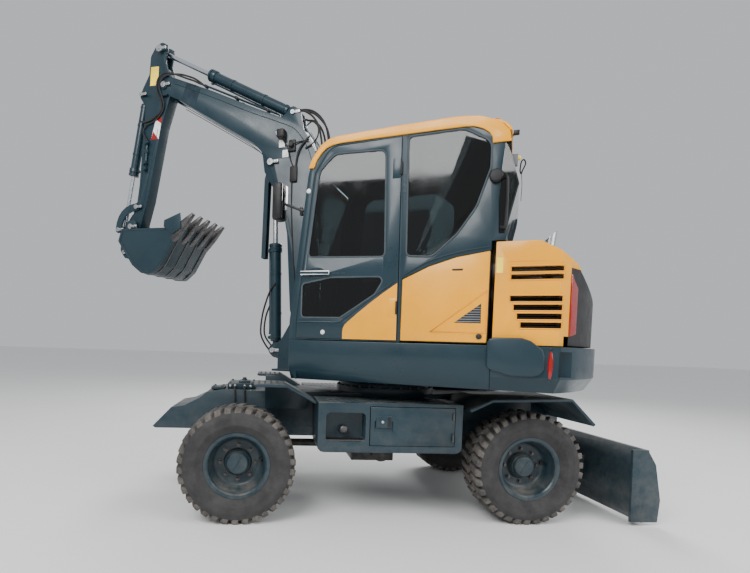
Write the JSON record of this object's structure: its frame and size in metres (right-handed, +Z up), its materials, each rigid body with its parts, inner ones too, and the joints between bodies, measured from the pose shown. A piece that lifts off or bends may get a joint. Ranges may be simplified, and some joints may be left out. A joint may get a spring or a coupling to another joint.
{
  "type": "wheeled excavator",
  "caption": "Compact wheeled excavator with cab, bent boom, arm and bucket on a turning upper structure, a rear dozer blade and steered front wheels.",
  "frame": {"origin": "centre of the overall box at ground level, in the parked pose", "axes": "+X towards the steered front axle, +Y to the machine's left, +Z up"},
  "size_m": [4.7591, 3.1913, 4.509],
  "materials": {
    "slate_paint": "semi-gloss slate-teal paint",
    "amber_paint": "semi-gloss yellow paint",
    "tyre": "dusty dark rubber",
    "glass": "clear cab glass",
    "black_plastic": "satin black",
    "black_metal": "dark painted castings",
    "chrome": "polished rod",
    "steel": "bare steel",
    "upholstery": "dark woven seat cover"
  },
  "bodies": {
    "chassis": {"chassis_frame": "slate_paint", "front_axle": "black_metal", "rear_axle": "black_metal", "driveline": "black_metal", "toolbox_left": "slate_paint", "toolbox_right": "slate_paint", "rear_fender_left": "slate_paint", "rear_fender_right": "slate_paint", "front_step_left": "slate_paint", "front_step_right": "slate_paint"},
    "knuckle_left": {"knuckle_left": "black_metal"},
    "knuckle_right": {"knuckle_right": "black_metal"},
    "front_left_wheel": {"front_left_tyre": "tyre", "front_left_rim": "slate_paint"},
    "front_right_wheel": {"front_right_tyre": "tyre", "front_right_rim": "slate_paint"},
    "rear_left_wheel": {"rear_left_tyre": "tyre", "rear_left_rim": "slate_paint"},
    "rear_right_wheel": {"rear_right_tyre": "tyre", "rear_right_rim": "slate_paint"},
    "toolbox_door_left": {"toolbox_door_left": "slate_paint"},
    "toolbox_door_right": {"toolbox_door_right": "slate_paint"},
    "blade": {"dozer_blade": "slate_paint"},
    "blade_barrel": {"blade_cylinder_barrel": "slate_paint"},
    "blade_rod": {"blade_cylinder_rod": "chrome"},
    "upper": {"upper_frame": "slate_paint", "left_skirt": "slate_paint", "right_skirt": "slate_paint", "counterweight": "slate_paint", "engine_block": "black_metal", "right_cover": "slate_paint", "cab_shell": "slate_paint", "cab_roof": "amber_paint", "windshield": "glass", "rear_glass": "glass", "left_rear_window": "glass", "right_window": "glass", "operator_seat": "upholstery", "cab_controls": "black_plastic", "left_mirror": "black_plastic"},
    "engine_hood": {"engine_hood": "amber_paint", "tail_panel": "black_plastic", "exhaust_pipe": "steel"},
    "side_panel": {"left_side_panel": "amber_paint"},
    "cab_door": {"cab_door": "slate_paint", "door_window": "glass", "door_lower_window": "glass"},
    "boom": {"boom": "slate_paint"},
    "boom_barrel": {"boom_cylinder_barrel": "slate_paint"},
    "boom_rod": {"boom_cylinder_rod": "chrome"},
    "arm": {"arm": "slate_paint"},
    "arm_barrel": {"arm_cylinder_barrel": "slate_paint"},
    "arm_rod": {"arm_cylinder_rod": "chrome"},
    "bucket_barrel": {"bucket_cylinder_barrel": "slate_paint"},
    "bucket_rod": {"bucket_cylinder_rod": "chrome"},
    "guide_link": {"guide_link_left": "slate_paint", "guide_link_right": "slate_paint"},
    "bucket_link": {"bucket_link": "slate_paint"},
    "bucket": {"bucket": "slate_paint"}
  },
  "joints": [
    {"name": "steer_left", "type": "hinge", "parent": "chassis", "child": "knuckle_left", "pos_m": [0.8135, 0.7408, 0.42], "axis": [0, 0, 1], "range_deg": [-30, 30]},
    {"name": "front_left_wheel_spin", "type": "hinge", "parent": "knuckle_left", "child": "front_left_wheel", "pos_m": [0.8135, 0.9358, 0.42], "axis": [0, 1, 0], "continuous": true},
    {"name": "rear_left_wheel_spin", "type": "hinge", "parent": "chassis", "child": "rear_left_wheel", "pos_m": [-1.3525, 0.9358, 0.42], "axis": [0, 1, 0], "continuous": true},
    {"name": "toolbox_door_left_hinge", "type": "hinge", "parent": "chassis", "child": "toolbox_door_left", "pos_m": [-0.7635, 1.0708, 0.58], "axis": [0, 0, 1], "range_deg": [0, 100]},
    {"name": "steer_right", "type": "hinge", "parent": "chassis", "child": "knuckle_right", "pos_m": [0.8135, -0.4592, 0.42], "axis": [0, 0, 1], "range_deg": [-30, 30]},
    {"name": "front_right_wheel_spin", "type": "hinge", "parent": "knuckle_right", "child": "front_right_wheel", "pos_m": [0.8135, -0.6542, 0.42], "axis": [0, 1, 0], "continuous": true},
    {"name": "rear_right_wheel_spin", "type": "hinge", "parent": "chassis", "child": "rear_right_wheel", "pos_m": [-1.3525, -0.6542, 0.42], "axis": [0, 1, 0], "continuous": true},
    {"name": "toolbox_door_right_hinge", "type": "hinge", "parent": "chassis", "child": "toolbox_door_right", "pos_m": [-0.7635, -0.7892, 0.58], "axis": [0, 0, -1], "range_deg": [0, 100]},
    {"name": "blade_lift", "type": "hinge", "parent": "chassis", "child": "blade", "pos_m": [-1.8295, 0.1408, 0.42], "axis": [0, 1, 0], "range_deg": [-8, 24]},
    {"name": "blade_cylinder_swing", "type": "hinge", "parent": "chassis", "child": "blade_barrel", "pos_m": [-1.8695, 0.1408, 0.82], "axis": [0, 1, 0], "range_deg": [-2.51, 7.42]},
    {"name": "blade_rod_slide", "type": "slide", "parent": "blade_barrel", "child": "blade_rod", "axis": [-0.5947, 0, -0.8039], "range_m": [-0.1195, 0.0402]},
    {"name": "slew", "type": "hinge", "parent": "chassis", "child": "upper", "pos_m": [-0.4445, 0.1408, 0.985], "axis": [0, 0, 1], "continuous": true},
    {"name": "cab_door_hinge", "type": "hinge", "parent": "upper", "child": "cab_door", "pos_m": [-0.27133, 1.13053, 1.35], "axis": [0, 0, 1], "range_deg": [0, 95]},
    {"name": "side_panel_hinge", "type": "hinge", "parent": "upper", "child": "side_panel", "pos_m": [-0.3026, 1.14625, 1.35], "axis": [0, 0, 1], "range_deg": [-100, 0]},
    {"name": "engine_hood_hinge", "type": "hinge", "parent": "upper", "child": "engine_hood", "pos_m": [-1.42721, 0.63505, 1.985], "axis": [0.4493, 0.8934, 0], "range_deg": [0, 45]},
    {"name": "boom_lift", "type": "hinge", "parent": "upper", "child": "boom", "pos_m": [0.2698, -0.38636, 1.44], "axis": [-0.4493, -0.8934, 0], "range_deg": [-88, 12]},
    {"name": "boom_cylinder_swing", "type": "hinge", "parent": "upper", "child": "boom_barrel", "pos_m": [0.53513, -0.51981, 1.233], "axis": [-0.4493, -0.8934, 0], "range_deg": [-90.69, 12.41]},
    {"name": "boom_rod_slide", "type": "slide", "parent": "boom_barrel", "child": "boom_rod", "axis": [0.0289, -0.0145, 0.9995], "range_m": [-0.4997, 0.0686]},
    {"name": "arm_swing", "type": "hinge", "parent": "boom", "child": "arm", "pos_m": [1.75727, -1.13448, 4.036], "axis": [0.4493, 0.8934, 0], "range_deg": [-105, 8]},
    {"name": "arm_cylinder_swing", "type": "hinge", "parent": "boom", "child": "arm_barrel", "pos_m": [0.40827, -0.456, 3.56], "axis": [-0.4493, -0.8934, 0], "range_deg": [-2.68, 0.25]},
    {"name": "arm_rod_slide", "type": "slide", "parent": "arm_barrel", "child": "arm_rod", "axis": [0.7823, -0.3935, 0.4829], "range_m": [-0.6145, 0.0473]},
    {"name": "bucket_curl", "type": "hinge", "parent": "arm", "child": "bucket", "pos_m": [2.11461, -1.3142, 2.549], "axis": [0.4493, 0.8934, 0], "range_deg": [-130, 4]},
    {"name": "guide_link_swing", "type": "hinge", "parent": "arm", "child": "guide_link", "pos_m": [2.07888, -1.29623, 2.772], "axis": [0.4493, 0.8934, 0], "range_deg": [-101.7, 3.18]},
    {"name": "bucket_link_swing", "type": "hinge", "parent": "bucket", "child": "bucket_link", "pos_m": [2.18608, -1.35015, 2.27], "axis": [0.4493, 0.8934, 0], "range_deg": [-2.82, 90]},
    {"name": "bucket_cylinder_swing", "type": "hinge", "parent": "arm", "child": "bucket_barrel", "pos_m": [2.04136, -1.27736, 3.99], "axis": [0.4493, 0.8934, 0], "range_deg": [-7.54, 0.29]},
    {"name": "bucket_rod_slide", "type": "slide", "parent": "bucket_barrel", "child": "bucket_rod", "axis": [0.1758, -0.0884, -0.9805], "range_m": [-0.5224, 0.0166]}
  ],
  "couplings": [
    {"joint": "steer_right", "follows": "steer_left", "ratio": 1},
    {"joint": "blade_cylinder_swing", "follows": "blade_lift", "ratio": 0.30674},
    {"joint": "blade_rod_slide", "follows": "blade_lift", "m_per_rad": -0.28386},
    {"joint": "boom_cylinder_swing", "follows": "boom_lift", "ratio": 1.03},
    {"joint": "boom_rod_slide", "follows": "boom_lift", "m_per_rad": 0.325},
    {"joint": "arm_cylinder_swing", "follows": "arm_swing", "ratio": 0.025},
    {"joint": "arm_rod_slide", "follows": "arm_swing", "m_per_rad": 0.335},
    {"joint": "guide_link_swing", "follows": "bucket_curl", "ratio": 0.78186},
    {"joint": "bucket_link_swing", "follows": "bucket_curl", "ratio": -0.69191},
    {"joint": "bucket_cylinder_swing", "follows": "bucket_curl", "ratio": 0.05759},
    {"joint": "bucket_rod_slide", "follows": "bucket_curl", "m_per_rad": 0.23}
  ]
}
